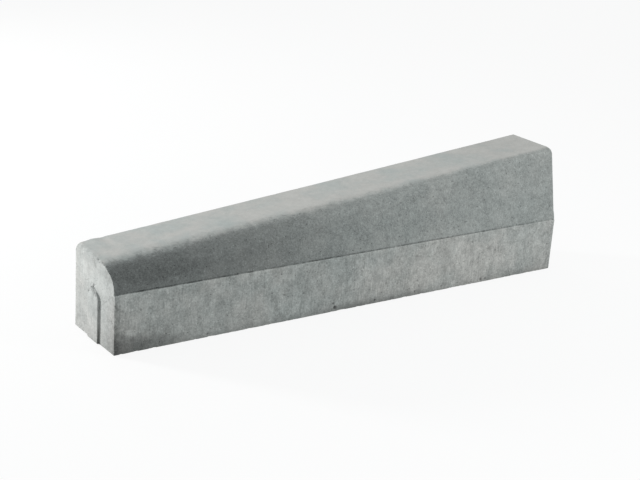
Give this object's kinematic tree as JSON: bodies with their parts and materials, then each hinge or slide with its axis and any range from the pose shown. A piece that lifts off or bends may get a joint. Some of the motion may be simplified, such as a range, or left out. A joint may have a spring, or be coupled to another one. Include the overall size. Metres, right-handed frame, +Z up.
{
  "type": "transition kerb stone",
  "caption": "Concrete kerb stone whose top climbs along its length to join a low kerb to a high one, with an upright foot, a narrow ledge and a face that leans back.",
  "frame": {"origin": "centre of the bed face, on the ground, midway between the two end faces and not counting the spacer", "axes": "+Z up; +X along the stone from its low end to its high end; -Y out of the front face, towards the road"},
  "size_m": [1.004, 0.15, 0.25],
  "materials": {
    "concrete": "matt pressed concrete, cool grey, with fine pores, grit and upright drag marks from the mould"
  },
  "bodies": {
    "root": {"kerb_stone": "concrete"}
  },
  "joints": []
}
